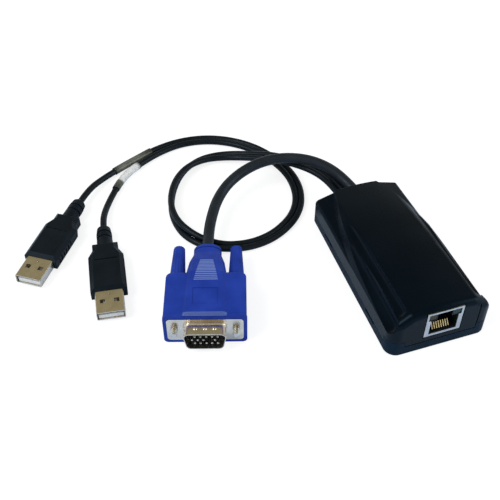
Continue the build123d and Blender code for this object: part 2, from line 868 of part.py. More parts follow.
with BuildPart() as video_shell:
    with BuildSketch(facing_front(0)):
        with Locations((0, plug_z)):
            RectangleRounded(flange_width, flange_height, flange_corner_radius - plug_fit)
    extrude(amount=-flange_thickness)
    # The base of the shield is drawn up from the flange with a rounded step.
    with BuildSketch(facing_front(0)):
        with Locations((0, plug_z)):
            d_outline(-d_base_step)
    extrude(amount=d_base_length)
    fillet(faces().sort_by(Axis.Y)[0].edges(), d_base_radius)
    with BuildSketch(facing_front(0)):
        with Locations((0, plug_z)):
            d_outline(0)
    extrude(amount=d_length)
    dimple_z = plug_z + d_height / 2 + dimple_rise - dimple_radius
    with Locations([(x, -dimple_from_flange, dimple_z) for x in dimple_xs]):
        Sphere(dimple_radius)
    with BuildSketch(facing_front(-2 * d_length)):
        with Locations((0, plug_z)):
            d_outline(d_sheet)
    extrude(amount=-(3 * d_length), mode=Mode.SUBTRACT)
    with BuildSketch(facing_front(-0.1)):
        with Locations((-screw_x, plug_z), (screw_x, plug_z)):
            Circle(bore)
    extrude(amount=-2 * flange_thickness, mode=Mode.SUBTRACT)
finish(video_shell, "video_shell", video_place)

pin_spots = []
for row, count in ((1, 5), (0, 5), (-1, 5)):
    shift = pin_pitch / 4 if row else -pin_pitch / 4
    for i in range(count):
        # The ninth pin of this kind of plug is left out as a key.
        if row == 0 and i == 3:
            continue
        pin_spots.append(((i - 2) * pin_pitch + shift, plug_z + row * pin_row_pitch))

with BuildPart() as video_insulator:
    with BuildSketch(facing_front(-insulator_recess)):
        with Locations((0, plug_z)):
            d_outline(d_sheet + plug_fit)
    extrude(amount=-insulator_length)
    with BuildSketch(facing_front(-insulator_recess)):
        with Locations(pin_spots):
            Circle(pin_diameter / 2 + 0.02)
    extrude(amount=-pin_depth, mode=Mode.SUBTRACT)
finish(video_insulator, "video_insulator", video_place)

with BuildPart() as video_pins:
    with BuildSketch(facing_front(-insulator_recess + pin_depth)):
        with Locations(pin_spots):
            Circle(pin_diameter / 2)
    extrude(amount=pin_depth + d_length - insulator_recess - pin_tip_below_rim)
    fillet(edges().group_by(Axis.Y)[0], 0.3)
finish(video_pins, "video_pins", video_place)

# Two thumbscrews: a fluted knob pressed on a long screw

knob_y = hood_length + knob_gap
knob_end = knob_y + knob_length
front_r = knob_front_diameter / 2
rear_r = knob_rear_diameter / 2
knob_taper = degrees(atan2(front_r - rear_r, knob_length))

for side, end in ((-1, "left"), (1, "right")):
    screw_place = video_place * Location((side * screw_x, 0, plug_z))
    with BuildPart() as knob:
        with BuildSketch(facing_front(knob_y)):
            Circle(front_r)
            with PolarLocations(front_r + 0.2, knob_flute_count):
                Circle(knob_flute_radius, mode=Mode.SUBTRACT)
        extrude(amount=-knob_length, taper=knob_taper)
        with BuildSketch():
            with BuildLine():
                dome_start = knob_end - rear_r
                Polyline(
                    (knob_length / 2, dome_start),
                    (knob_length / 2, knob_y),
                    (0, knob_y),
                    (0, knob_end),
                )
                RadiusArc((0, knob_end), (rear_r + 0.1, dome_start), -(rear_r + 0.1))
                Line((rear_r + 0.1, dome_start), (knob_length / 2, dome_start))
            make_face()
        revolve(axis=Axis.Y, mode=Mode.INTERSECT)
        with BuildSketch(facing_front(0)):
            Circle(screw_diameter / 2 + 0.02)
        extrude(amount=-(knob_y + knob_grip + 0.1), mode=Mode.SUBTRACT)
    finish(knob, f"thumbscrew_knob_{end}", screw_place)

    with BuildPart() as screw:
        with BuildSketch():
            with BuildLine():
                profile = [(0, -screw_stub), (screw_diameter / 2 - 0.35, -screw_stub)]
                for i in range(4):
                    thread_y = -screw_stub + 0.35 + i * 0.64
                    profile.append((screw_diameter / 2, thread_y))
                    profile.append((screw_diameter / 2 - 0.28, thread_y + 0.32))
                profile.append((screw_diameter / 2, thread_y + 0.64))
                profile.append((screw_diameter / 2, knob_y + knob_grip))
                profile.append((0, knob_y + knob_grip))
                Polyline(*profile, close=True)
            make_face()
        revolve(axis=Axis.Y)
    finish(screw, f"thumbscrew_{end}", screw_place)

# USB plugs: a steel shell with a tongue and contacts in a soft boot

usb_z = boot_height / 2
usb_inner_width = usb_shell_width - 2 * usb_shell_sheet
usb_inner_height = usb_shell_height - 2 * usb_shell_sheet

for letter, spot, turn in (
    ("a", usb_plug_a_at, usb_plug_a_turn),
    ("b", usb_plug_b_at, usb_plug_b_turn),
):
    usb_place = Location((spot[0], spot[1], 0), (0, 0, turn))
    with BuildPart() as usb_shell:
        with BuildSketch(facing_front(0)):
            with Locations((0, usb_z)):
                RectangleRounded(usb_shell_width, usb_shell_height, 0.6)
                RectangleRounded(usb_inner_width, usb_inner_height, 0.3, mode=Mode.SUBTRACT)
        extrude(amount=-(usb_shell_exposed + usb_shell_buried))
        with Locations(
            (-usb_window_spread / 2, usb_window_from_mouth, usb_z),
            (usb_window_spread / 2, usb_window_from_mouth, usb_z),
        ):
            Box(usb_window, usb_window, 2 * usb_shell_height, mode=Mode.SUBTRACT)
        with Locations((0, usb_dimple_from_mouth, usb_z + usb_shell_height / 2)):
            Sphere(usb_dimple_radius, mode=Mode.SUBTRACT)
    finish(usb_shell, f"usb_{letter}_shell", usb_place)

    tongue_floor = usb_z - usb_inner_height / 2 + plug_fit
    with BuildPart() as usb_tongue:
        with BuildSketch(Plane.XY.offset(tongue_floor)):
            with Locations((0, usb_tongue_recess)):
                Rectangle(
                    usb_inner_width - 0.8,
                    usb_shell_exposed + usb_shell_buried - usb_tongue_recess,
                    align=(Align.CENTER, Align.MIN),
                )
        extrude(amount=usb_tongue_height)
        with BuildSketch(Plane.XY.offset(tongue_floor)):
            with Locations((0, usb_shell_exposed + 0.5)):
                Rectangle(
                    usb_inner_width - 0.8,
                    usb_shell_buried - 0.5,
                    align=(Align.CENTER, Align.MIN),
                )
        extrude(amount=usb_inner_height - 2 * plug_fit)
        chamfer(edges().group_by(Axis.Y)[0], 0.3)
    finish(usb_tongue, f"usb_{letter}_tongue", usb_place)

    with BuildPart() as usb_contacts:
        for i in range(usb_contact_count):
            contact_x = (i - (usb_contact_count - 1) / 2) * usb_contact_pitch
            with Locations((contact_x, usb_tongue_recess + 1.4, tongue_floor + usb_tongue_height)):
                Box(
                    usb_contact_width,
                    7.5,
                    usb_contact_height,
                    align=(Align.CENTER, Align.MIN, Align.MIN),
                )
    finish(usb_contacts, f"usb_{letter}_contacts", usb_place)

    with BuildPart() as usb_boot:
        half_boot = boot_width / 2
        half_wing = boot_wing_width / 2
        with BuildSketch():
            Polygon(
                (-half_boot, usb_shell_exposed),
                (half_boot, usb_shell_exposed),
                (half_boot, boot_body_end),
                (half_wing, boot_shoulder_end),
                (half_wing, boot_wing_end),
                (-half_wing, boot_wing_end),
                (-half_wing, boot_shoulder_end),
                (-half_boot, boot_body_end),
                align=None,
            )
        extrude(amount=boot_height)
        chamfer(faces().filter_by(Axis.Z).edges(), boot_edge_chamfer)
        fillet(edges().filter_by(Axis.Z), 0.6)
        # Strain relief: tapered, with two grooves and a bevelled end
        with BuildSketch(Plane.XY.offset(usb_z)):
            with BuildLine():
                relief_r = relief_front_diameter / 2
                relief_rear = relief_rear_diameter / 2
                outline = [(0, boot_wing_end - 2), (relief_r, boot_wing_end - 2)]
                for groove_y in (boot_wing_end + 3.4, boot_wing_end + 6.6):
                    outline.append((relief_r - 0.15, groove_y))
                    outline.append((relief_r - relief_groove_depth - 0.15, groove_y))
                    outline.append((relief_r - relief_groove_depth - 0.15, groove_y + 1.0))
                    outline.append((relief_r - 0.2, groove_y + 1.0))
                outline.append((relief_rear, relief_end - 1.4))
                outline.append((lead_diameter / 2 + 0.5, relief_end))
                outline.append((0, relief_end))
                Polyline(*outline, close=True)
            make_face()
        revolve(axis=Axis((0, 0, usb_z), (0, 1, 0)))
        # Room for the shell, a groove across the top and grip grooves in the sides
        with BuildSketch(facing_front(0)):
            with Locations((0, usb_z)):
                RectangleRounded(
                    usb_shell_width + 2 * plug_fit, usb_shell_height + 2 * plug_fit, 0.6
                )
        extrude(amount=-(usb_shell_exposed + usb_shell_buried + plug_fit), mode=Mode.SUBTRACT)
        with Locations((0, boot_groove_y, boot_height)):
            Box(boot_groove_length, boot_groove_width, 2 * boot_groove_depth, mode=Mode.SUBTRACT)
        for i in range(grip_groove_count):
            groove_y = grip_groove_y + grip_groove_pitch * i
            with Locations((-half_boot, groove_y, usb_z), (half_boot, groove_y, usb_z)):
                Box(0.7, 0.8, 3.2, mode=Mode.SUBTRACT)
    finish(usb_boot, f"usb_{letter}_boot", usb_place)

# Cords: each a tube along straight runs joined by tangent arcs


def bend_radii(points):
    """Radius of the arc at each corner of a route."""
    found = []
    for before, corner, after in zip(points, points[1:], points[2:]):
        first = Vector(corner) - Vector(before)
        second = Vector(after) - Vector(corner)
        half_turn = radians(first.get_angle(second)) / 2
        found.append(bend_share * min(first.length, second.length) / tan(half_turn))
    return found


def tube(points, arcs, outer, inner=0.0):
    """A tube, or a sleeve with an inner radius, along a route."""
    with BuildPart() as swept:
        with BuildLine() as middle_line:
            FilletPolyline(*points, radius=arcs)
        start_plane = Plane(origin=points[0], z_dir=Vector(points[1]) - Vector(points[0]))
        with BuildSketch(start_plane):
            Circle(outer)
            if inner > 0:
                Circle(inner, mode=Mode.SUBTRACT)
        sweep(path=middle_line.wires()[0])
    return swept


def on_plug_axis(spot, turn, along, height):
    """A point on a plug's axis, a distance behind its mouth."""
    angle = radians(turn)
    return (spot[0] - sin(angle) * along, spot[1] + cos(angle) * along, height)


def beside(route, side):
    """The route of one of two leads that lie side by side along a middle line."""
    points = [Vector(*stop[:3]) for stop in route]
    shifted = []
    for i, stop in enumerate(route):
        run_in = points[i] - points[max(i - 1, 0)]
        run_out = points[min(i + 1, len(points) - 1)] - points[i]
        if i == 0:
            run_in = run_out
        if i == len(points) - 1:
            run_out = run_in
        across = Vector(run_in.Y, -run_in.X) / hypot(run_in.X, run_in.Y)
        across += Vector(run_out.Y, -run_out.X) / hypot(run_out.X, run_out.Y)
        across = across * (2 / (across.X**2 + across.Y**2))
        lean = radians(stop[3])
        reach = side * lead_spacing / 2
        place = points[i] + across * (reach * cos(lean)) - Vector(0, 0, reach * sin(lean))
        shifted.append((place.X, place.Y, place.Z))
    return shifted


gland_face = rear_y + gland_nose - cord_seat
video_points = [(video_exit_x, gland_face, cord_exit_height), *video_route]
for along in (plug_end + axial_run, plug_end):
    video_points.append(on_plug_axis(video_plug_at, video_plug_turn, along, plug_z))

pair_start = ((pair_exit_x, gland_face, cord_exit_height, 0),)
lead_a_points = beside(pair_start + pair_route, 1) + list(lead_a_tail)
lead_b_points = beside(pair_start + pair_route, -1) + list(lead_b_tail)
for along in (relief_end + axial_run, relief_end):
    lead_a_points.append(on_plug_axis(usb_plug_a_at, usb_plug_a_turn, along, usb_z))
    lead_b_points.append(on_plug_axis(usb_plug_b_at, usb_plug_b_turn, along, usb_z))

for points, diameter, name in (
    (video_points, video_cable_diameter, "video_cable"),
    (lead_a_points, lead_diameter, "usb_lead_a"),
    (lead_b_points, lead_diameter, "usb_lead_b"),
):
    arcs = bend_radii(points)
    cord = tube(points, arcs, diameter / 2)
    finish(cord, name)
    run_lengths = [(Vector(b) - Vector(a)).length for a, b in zip(points, points[1:])]
    print(name, "runs together", round(sum(run_lengths), 1), "longest", round(max(run_lengths), 1))
    print(name, "arc radii", [round(arc, 1) for arc in arcs])
    section = 3.14159265 * diameter**2 / 4
    print(name, "length by volume", round(cord.part.volume / section, 1))

# Cord gland: a rubber block, its waist in the notch of the rear wall, with a seat for each cord

with BuildPart() as cord_gland:
    with BuildSketch(facing_front(rear_y - wall - gland_flange - gland_fit)):
        with Locations((gland_center_x, cord_exit_height)):
            RectangleRounded(
                gland_width + 2 * gland_flange_extra,
                gland_height + 2 * gland_flange_extra,
                gland_radius,
            )
    extrude(amount=-gland_flange)
    with BuildSketch(facing_front(rear_y - wall - gland_fit)):
        with Locations((gland_center_x, cord_exit_height)):
            Rectangle(gland_width, gland_height)
    extrude(amount=-(wall + gland_fit))
    with BuildSketch(facing_front(rear_y)):
        with Locations((gland_center_x, cord_exit_height)):
            Rectangle(gland_width, gland_height)
    extrude(amount=-gland_nose, taper=14)
    fillet(faces().sort_by(Axis.Y)[-1].edges(), 0.6)
    for points, diameter in (
        (video_points, video_cable_diameter),
        (lead_a_points, lead_diameter),
        (lead_b_points, lead_diameter),
    ):
        outward = (Vector(points[1]) - Vector(points[0])).normalized()
        with BuildSketch(Plane(origin=Vector(points[0]) - outward * gland_fit, z_dir=outward)):
            Circle(diameter / 2 + gland_fit / 2)
        extrude(amount=4 * cord_seat, mode=Mode.SUBTRACT)
finish(cord_gland, "cord_gland")

# Label sleeves: thin rings along part of each lead's own route, with the same arcs

for points, corner, name in (
    (lead_a_points, len(pair_route) + 2, "label_a"),
    (lead_b_points, len(pair_route) + 3, "label_b"),
):
    before, first, second, after = (Vector(points[corner + i]) for i in (-1, 0, 1, 2))
    label_start = before + (first - before) * label_start_share
    label_end = second + (after - second) * label_end_share
    arcs = bend_radii(points)[corner - 1 : corner + 1]
    inner = lead_diameter / 2 + label_clearance
    label = tube([label_start, first, second, label_end], arcs, inner + label_wall, inner)
    finish(label, name)
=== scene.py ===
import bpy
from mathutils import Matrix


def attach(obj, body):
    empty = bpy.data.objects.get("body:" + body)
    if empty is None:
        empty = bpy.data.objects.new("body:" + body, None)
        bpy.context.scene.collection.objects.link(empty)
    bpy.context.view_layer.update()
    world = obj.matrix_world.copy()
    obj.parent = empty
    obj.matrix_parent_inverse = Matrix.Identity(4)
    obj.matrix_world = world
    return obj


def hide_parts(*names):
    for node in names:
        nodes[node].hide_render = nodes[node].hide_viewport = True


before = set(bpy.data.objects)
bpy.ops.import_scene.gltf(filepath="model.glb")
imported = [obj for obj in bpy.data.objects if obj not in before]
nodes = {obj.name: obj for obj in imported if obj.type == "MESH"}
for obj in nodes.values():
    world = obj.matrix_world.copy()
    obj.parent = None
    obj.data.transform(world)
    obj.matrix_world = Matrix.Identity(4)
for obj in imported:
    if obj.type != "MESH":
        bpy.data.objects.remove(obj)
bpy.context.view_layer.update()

from math import cos, pi, radians, sin

import bpy
import numpy as np
from mathutils import Matrix, Vector

# Camera: it stands 0.26 m above the table and 0.2 m in front of the plugs, turned a little to
# the right, and looks down on the dongle at 45 degrees through a mild telephoto lens.
eye = Vector((-0.1379, -0.2116, 0.2612))
heading = radians(18.64)
dip = radians(45.23)
gaze = Vector((sin(heading) * cos(dip), cos(heading) * cos(dip), -sin(dip)))
camera_data = bpy.data.cameras.new("camera")
camera_data.lens = 58.37
camera_data.sensor_width = 36.0
camera_data.clip_start = 0.01
camera = bpy.data.objects.new("camera", camera_data)
camera.matrix_world = Matrix.Translation(eye) @ gaze.to_track_quat("-Z", "Y").to_matrix().to_4x4()
bpy.context.scene.collection.objects.link(camera)
bpy.context.scene.camera = camera
bpy.context.scene.view_settings.view_transform = "Standard"

# Table and studio: a white table top under a white sweep, a darker, warm ceiling and two soft
# boxes. The camera sees table and sweep as white, with soft shadows on the table, and gloss on
# the dongle shows the table a little cool and the ceiling khaki.


def plain_finish(name, colour, roughness, metallic=0.0):
    """A finish with one colour, one roughness and a share of metal, on one shader."""
    finish = bpy.data.materials.new(name)
    finish.use_nodes = True
    shader = finish.node_tree.nodes["Principled BSDF"]
    shader.inputs["Base Color"].default_value = (*colour, 1.0)
    shader.inputs["Roughness"].default_value = roughness
    shader.inputs["Metallic"].default_value = metallic
    return finish, shader


table_side = 6.0
paint_white = (0.8, 0.8, 0.8)
cool_white = (0.64, 0.76, 0.9)
glow_share = 0.61
corners = np.array([[-1, -1, 0], [1, -1, 0], [1, 1, 0], [-1, 1, 0]]) * table_side / 2
table_mesh = bpy.data.meshes.new("table")
table_mesh.from_pydata(corners.tolist(), [], [(0, 1, 2, 3)])
table = bpy.data.objects.new("table", table_mesh)
bpy.context.scene.collection.objects.link(table)
table_white, shader = plain_finish("table white", paint_white, 0.9)
tree = table_white.node_tree
rays = tree.nodes.new("ShaderNodeLightPath")
paint = tree.nodes.new("ShaderNodeMix")
paint.data_type = "RGBA"
paint.inputs["A"].default_value = (*cool_white, 1.0)
paint.inputs["B"].default_value = (*paint_white, 1.0)
glow = tree.nodes.new("ShaderNodeEmission")
glow.inputs["Strength"].default_value = 1.3
share = tree.nodes.new("ShaderNodeMath")
share.operation = "MULTIPLY"
share.inputs[1].default_value = glow_share
blend = tree.nodes.new("ShaderNodeMixShader")
tree.links.new(rays.outputs["Is Camera Ray"], paint.inputs["Factor"])
tree.links.new(paint.outputs["Result"], shader.inputs["Base Color"])
tree.links.new(rays.outputs["Is Camera Ray"], share.inputs[0])
tree.links.new(share.outputs[0], blend.inputs["Fac"])
tree.links.new(shader.outputs[0], blend.inputs[1])
tree.links.new(glow.outputs[0], blend.inputs[2])
tree.links.new(blend.outputs[0], tree.nodes["Material Output"].inputs["Surface"])
table.data.materials.append(table_white)

sweep_top, ceiling_start = 0.1, 0.38
ceiling_khaki = (0.28, 0.255, 0.148)
world = bpy.data.worlds.new("studio")
world.use_nodes = True
bpy.context.scene.world = world
tree = world.node_tree
tree.nodes.clear()
rays = tree.nodes.new("ShaderNodeLightPath")
direction = tree.nodes.new("ShaderNodeTexCoord")
split = tree.nodes.new("ShaderNodeSeparateXYZ")
height = tree.nodes.new("ShaderNodeValToRGB")
height.color_ramp.elements[0].position = sweep_top
height.color_ramp.elements[0].color = (1.0, 1.0, 1.0, 1.0)
height.color_ramp.elements[1].position = ceiling_start
height.color_ramp.elements[1].color = (*ceiling_khaki, 1.0)
reflected = tree.nodes.new("ShaderNodeBackground")
lighting = tree.nodes.new("ShaderNodeBackground")
lighting.inputs["Color"].default_value = (0.93, 0.96, 1.0, 1.0)
lighting.inputs["Strength"].default_value = 0.6
white = tree.nodes.new("ShaderNodeBackground")
white.inputs["Color"].default_value = (1.0, 1.0, 1.0, 1.0)
mirrored = tree.nodes.new("ShaderNodeMath")
mirrored.operation = "MAXIMUM"
room = tree.nodes.new("ShaderNodeMixShader")
backdrop = tree.nodes.new("ShaderNodeMixShader")
out = tree.nodes.new("ShaderNodeOutputWorld")
tree.links.new(direction.outputs["Generated"], split.inputs[0])
tree.links.new(split.outputs["Z"], height.inputs["Fac"])
tree.links.new(height.outputs["Color"], reflected.inputs["Color"])
tree.links.new(rays.outputs["Is Glossy Ray"], mirrored.inputs[0])
tree.links.new(rays.outputs["Is Transmission Ray"], mirrored.inputs[1])
tree.links.new(mirrored.outputs[0], room.inputs["Fac"])
tree.links.new(lighting.outputs[0], room.inputs[1])
tree.links.new(reflected.outputs[0], room.inputs[2])
tree.links.new(rays.outputs["Is Camera Ray"], backdrop.inputs["Fac"])
tree.links.new(room.outputs[0], backdrop.inputs[1])
tree.links.new(white.outputs[0], backdrop.inputs[2])
tree.links.new(backdrop.outputs[0], out.inputs["Surface"])

for name, place, aim, side, watts in (
    ("key", (-0.75, -0.1, 0.8), (-0.06, 0.03, 0.0), 0.5, 5.0),
    ("fill", (0.75, -0.35, 0.45), (0.0, 0.0, 0.0), 0.6, 3.0),
):
    box = bpy.data.lights.new(name, "AREA")
    box.size = side
    box.energy = watts
    lamp = bpy.data.objects.new(name, box)
    facing = (Vector(aim) - Vector(place)).to_track_quat("-Z", "Y").to_matrix().to_4x4()
    lamp.matrix_world = Matrix.Translation(place) @ facing
    bpy.context.scene.collection.objects.link(lamp)

# Circuit board and its parts, shut inside the housing: glass fibre under green solder resist,
# with moulded black chips, drawn metal cans and ivory nylon headers soldered to it.


def dress(finish, *names):
    """A CAD node keeps its shape and takes this finish."""
    for name in names:
        for place in nodes[name].material_slots:
            place.material = finish


def noise_on(finish, cells, detail=3.0):
    """A noise pattern fixed to the piece, with this many cells to the metre."""
    tree = finish.node_tree
    place = tree.nodes.new("ShaderNodeTexCoord")
    pattern = tree.nodes.new("ShaderNodeTexNoise")
    pattern.inputs["Scale"].default_value = cells
    pattern.inputs["Detail"].default_value = detail
    tree.links.new(place.outputs["Object"], pattern.inputs["Vector"])
    return pattern


def vary_colour(finish, pattern, dark, light, start=0.35, stop=0.65):
    """The base colour goes from dark to light while the pattern goes from start to stop."""
    tree = finish.node_tree
    ramp = tree.nodes.new("ShaderNodeValToRGB")
    ramp.color_ramp.elements[0].position = start
    ramp.color_ramp.elements[1].position = stop
    ramp.color_ramp.elements[0].color = (*dark, 1.0)
    ramp.color_ramp.elements[1].color = (*light, 1.0)
    tree.links.new(pattern.outputs["Fac"], ramp.inputs["Fac"])
    tree.links.new(ramp.outputs["Color"], tree.nodes["Principled BSDF"].inputs["Base Color"])


def vary_roughness(finish, pattern, low, high):
    """The roughness goes from low to high while the pattern goes from 0.3 to 0.7."""
    tree = finish.node_tree
    span = tree.nodes.new("ShaderNodeMapRange")
    span.inputs["From Min"].default_value = 0.3
    span.inputs["From Max"].default_value = 0.7
    span.inputs["To Min"].default_value = low
    span.inputs["To Max"].default_value = high
    tree.links.new(pattern.outputs["Fac"], span.inputs["Value"])
    tree.links.new(span.outputs["Result"], tree.nodes["Principled BSDF"].inputs["Roughness"])


def raise_grain(finish, pattern, height, strength, edge_radius=None):
    """Grain: the pattern stands out from the surface by a height in metres, on edges that
    look rounded by a radius in metres."""
    tree = finish.node_tree
    bump = tree.nodes.new("ShaderNodeBump")
    bump.inputs["Distance"].default_value = height
    bump.inputs["Strength"].default_value = strength
    if edge_radius is not None:
        edges = tree.nodes.new("ShaderNodeBevel")
        edges.samples = 4
        edges.inputs["Radius"].default_value = edge_radius
        tree.links.new(edges.outputs[0], bump.inputs["Normal"])
    tree.links.new(pattern.outputs["Fac"], bump.inputs["Height"])
    tree.links.new(bump.outputs["Normal"], tree.nodes["Principled BSDF"].inputs["Normal"])


def moulding(name, dark, light, roughness, grain, gloss=0.3, edge_radius=None):
    """Moulded plastic: even colour, a soft cool gloss and the fine grain of its mould."""
    finish, shader = plain_finish(name, light, roughness)
    shader.inputs["Specular IOR Level"].default_value = gloss
    shader.inputs["Specular Tint"].default_value = (0.6, 0.8, 1.0, 1.0)
    vary_colour(finish, noise_on(finish, 120.0), dark, light)
    vary_roughness(finish, noise_on(finish, 300.0), roughness - 0.05, roughness + 0.07)
    raise_grain(finish, noise_on(finish, 4200.0, detail=2.0), grain, 0.5, edge_radius)
    return finish


def sheet_metal(name, dark, light, roughness):
    """Plated sheet: a metal with a slightly uneven plating and the faintest grain."""
    finish, _ = plain_finish(name, light, roughness, metallic=1.0)
    vary_colour(finish, noise_on(finish, 240.0), dark, light, start=0.3, stop=0.7)
    vary_roughness(finish, noise_on(finish, 500.0), roughness - 0.05, roughness + 0.06)
    raise_grain(finish, noise_on(finish, 2400.0, detail=1.0), 0.000002, 0.4)
    return finish


fine_grain = 0.00002
resist_green = moulding("board green", (0.01, 0.09, 0.03), (0.015, 0.12, 0.045), 0.35, fine_grain)
chip_black = moulding("chip black", (0.01, 0.01, 0.01), (0.016, 0.016, 0.016), 0.5, fine_grain)
nylon = moulding("ivory nylon", (0.62, 0.58, 0.46), (0.7, 0.66, 0.54), 0.45, fine_grain)
can_metal = sheet_metal("can metal", (0.6, 0.6, 0.6), (0.75, 0.75, 0.75), 0.3)
dress(resist_green, "circuit_board")
dress(chip_black, "main_chip", "memory_chip")
dress(nylon, "video_header", "usb_header")
dress(can_metal, "crystal", "capacitors")

# Network socket: a moulded black body in a folded and tinned sheet shield, with eight gold
# plated spring wires and a small clear light pressed into each top corner.

socket_black = moulding("socket black", (0.004, 0.004, 0.005), (0.007, 0.007, 0.008), 0.45, fine_grain)
socket_tin = sheet_metal("socket tin", (0.5, 0.51, 0.52), (0.66, 0.67, 0.69), 0.3)
gold = sheet_metal("gold plating", (0.72, 0.6, 0.32), (0.88, 0.76, 0.45), 0.25)
dress(socket_black, "jack_body")
dress(socket_tin, "jack_shield")
dress(gold, "jack_contacts")
for name, tint in (
    ("jack_light_left", (0.045, 0.036, 0.018)),
    ("jack_light_right", (0.004, 0.04, 0.034)),
):
    lens, shader = plain_finish(name.replace("_", " "), tint, 0.15)
    shader.inputs["Transmission Weight"].default_value = 0.3
    shader.inputs["Specular IOR Level"].default_value = 0.2
    vary_roughness(lens, noise_on(lens, 800.0), 0.12, 0.22)
    dress(lens, name)

# Video cable: a round 5 mm cable, its soft black PVC jacket extruded over the cores. It leaves
# the gland, passes over the two thin leads and goes down into the video plug's collar.


def cable_jacket(name, dark, light):
    """Soft PVC jacket: nearly black, a little dusty, half glossy, with a faint drawn grain."""
    finish, shader = plain_finish(name, dark, 0.42)
    shader.inputs["Specular IOR Level"].default_value = 0.28
    shader.inputs["Specular Tint"].default_value = (0.7, 0.85, 1.0, 1.0)
    vary_colour(finish, noise_on(finish, 160.0), dark, light)
    vary_roughness(finish, noise_on(finish, 420.0), 0.36, 0.52)
    raise_grain(finish, noise_on(finish, 2600.0), 0.00003, 0.5)
    return finish


def lay_cord(name, route, thickness, jacket):
    """A smooth round cord: a quadratic spline with the route's corners as its control points."""
    curve = bpy.data.curves.new(name, "CURVE")
    curve.dimensions = "3D"
    curve.bevel_depth = thickness / 2
    curve.bevel_resolution = 7
    curve.resolution_u = 10
    curve.use_fill_caps = True
    line = curve.splines.new("NURBS")
    line.points.add(len(route) - 1)
    line.points.foreach_set("co", np.c_[route, np.ones(len(route))].ravel())
    line.order_u = 3
    line.use_endpoint_u = True
    line.use_smooth = True
    curve.materials.append(jacket)
    cord = bpy.data.objects.new(name, curve)
    bpy.context.scene.collection.objects.link(cord)
    return cord


video_thickness = 0.005
video_route = np.array(
    [
        (0.0022, 0.0442, 0.0085), (-0.0006, 0.0532, 0.0109), (-0.0062, 0.0610, 0.0143),
        (-0.0142, 0.0673, 0.0164), (-0.0242, 0.0724, 0.0164), (-0.0346, 0.0749, 0.0150),
        (-0.0454, 0.0736, 0.0126), (-0.0550, 0.0686, 0.0107), (-0.0623, 0.0608, 0.0095),
        (-0.0676, 0.0518, 0.0085), (-0.0718, 0.0426, 0.0080), (-0.0748, 0.0336, 0.0080),
    ]
)
video_jacket = cable_jacket("video cable jacket", (0.0095, 0.0125, 0.0175), (0.015, 0.0195, 0.027))
video_cable = lay_cord("video_cord", video_route, video_thickness, video_jacket)
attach(video_cable, "dongle")
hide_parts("video_cable")

# USB leads: two round 3 mm leads in the same soft black PVC. They lie side by side in one
# loose loop, pass over their own far run and under the video cable, and part at the labels.

lead_thickness = 0.003
lead_a_route = np.array(
    [
        (-0.0030, 0.0443, 0.0085), (-0.0037, 0.0559, 0.0084), (-0.0079, 0.0668, 0.0083),
        (-0.0154, 0.0755, 0.0089), (-0.0246, 0.0850, 0.0086), (-0.0353, 0.0953, 0.0042),
        (-0.0461, 0.1021, 0.0018), (-0.0575, 0.1024, 0.0018), (-0.0673, 0.0974, 0.0018),
        (-0.0743, 0.0893, 0.0018), (-0.0796, 0.0794, 0.0017), (-0.0826, 0.0689, 0.0017),
        (-0.0831, 0.0593, 0.0018), (-0.0811, 0.0501, 0.0018), (-0.0756, 0.0421, 0.0018),
        (-0.0665, 0.0365, 0.0017), (-0.0554, 0.0339, 0.0016), (-0.0445, 0.0354, 0.0016),
        (-0.0355, 0.0398, 0.0016), (-0.0273, 0.0465, 0.0016), (-0.0213, 0.0557, 0.0016),
        (-0.0182, 0.0674, 0.0016), (-0.0187, 0.0794, 0.0016), (-0.0225, 0.0916, 0.0016),
        (-0.0301, 0.1043, 0.0016), (-0.0409, 0.1136, 0.0016), (-0.0528, 0.1187, 0.0016),
        (-0.0655, 0.1199, 0.0016), (-0.0787, 0.1170, 0.0018), (-0.0886, 0.1122, 0.0020),
        (-0.0960, 0.1088, 0.0020), (-0.1076, 0.1026, 0.0022), (-0.1170, 0.0942, 0.0039),
        (-0.1225, 0.0864, 0.0039),
    ]
)
lead_b_route = np.array(
    [
        (-0.0062, 0.0441, 0.0085), (-0.0067, 0.0551, 0.0082), (-0.0104, 0.0653, 0.0087),
        (-0.0176, 0.0736, 0.0093), (-0.0271, 0.0823, 0.0084), (-0.0371, 0.0925, 0.0042),
        (-0.0471, 0.0985, 0.0024), (-0.0569, 0.0992, 0.0032), (-0.0663, 0.0957, 0.0044),
        (-0.0741, 0.0888, 0.0048), (-0.0796, 0.0794, 0.0048), (-0.0826, 0.0689, 0.0048),
        (-0.0825, 0.0593, 0.0048), (-0.0793, 0.0511, 0.0042), (-0.0736, 0.0443, 0.0028),
        (-0.0655, 0.0391, 0.0017), (-0.0552, 0.0369, 0.0016), (-0.0455, 0.0382, 0.0016),
        (-0.0371, 0.0422, 0.0016), (-0.0295, 0.0483, 0.0016), (-0.0239, 0.0569, 0.0016),
        (-0.0212, 0.0678, 0.0016), (-0.0215, 0.0790, 0.0016), (-0.0251, 0.0904, 0.0016),
        (-0.0323, 0.1025, 0.0016), (-0.0425, 0.1112, 0.0016), (-0.0536, 0.1159, 0.0016),
        (-0.0657, 0.1169, 0.0016), (-0.0774, 0.1134, 0.0018), (-0.0876, 0.1080, 0.0020),
        (-0.0956, 0.1028, 0.0020), (-0.1016, 0.0963, 0.0020), (-0.1065, 0.0888, 0.0020),
        (-0.1100, 0.0827, 0.0022), (-0.1129, 0.0762, 0.0031), (-0.1147, 0.0702, 0.0039),
        (-0.1155, 0.0651, 0.0039),
    ]
)
lead_jacket = cable_jacket("lead jacket", (0.0014, 0.0036, 0.0068), (0.0028, 0.0056, 0.0105))
lead_a = lay_cord("usb_cord_a", lead_a_route, lead_thickness, lead_jacket)
lead_b = lay_cord("usb_cord_b", lead_b_route, lead_thickness, lead_jacket)
